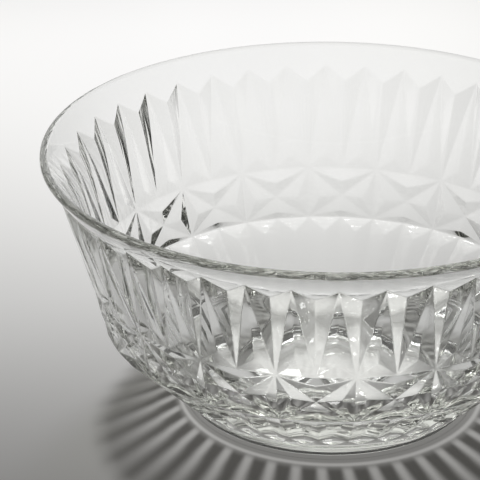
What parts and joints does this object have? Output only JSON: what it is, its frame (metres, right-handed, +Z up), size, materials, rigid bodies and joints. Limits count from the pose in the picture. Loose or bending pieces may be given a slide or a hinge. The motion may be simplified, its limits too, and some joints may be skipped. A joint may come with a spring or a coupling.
{
  "type": "trifle bowl",
  "caption": "Round clear pressed-glass bowl with a plain flared rim, pointed flutes, a belt of stars and a low foot ring, for serving trifle, fruit or salad.",
  "frame": {"origin": "centre of the foot ring, on the table", "axes": "+Z up along the bowl's axis; -Y is the front, where one star of the belt faces; +X to the right"},
  "size_m": [0.22, 0.22, 0.102],
  "materials": {
    "clear_glass": "polished, fire-finished"
  },
  "bodies": {
    "root": {"bowl": "clear_glass"}
  },
  "joints": []
}
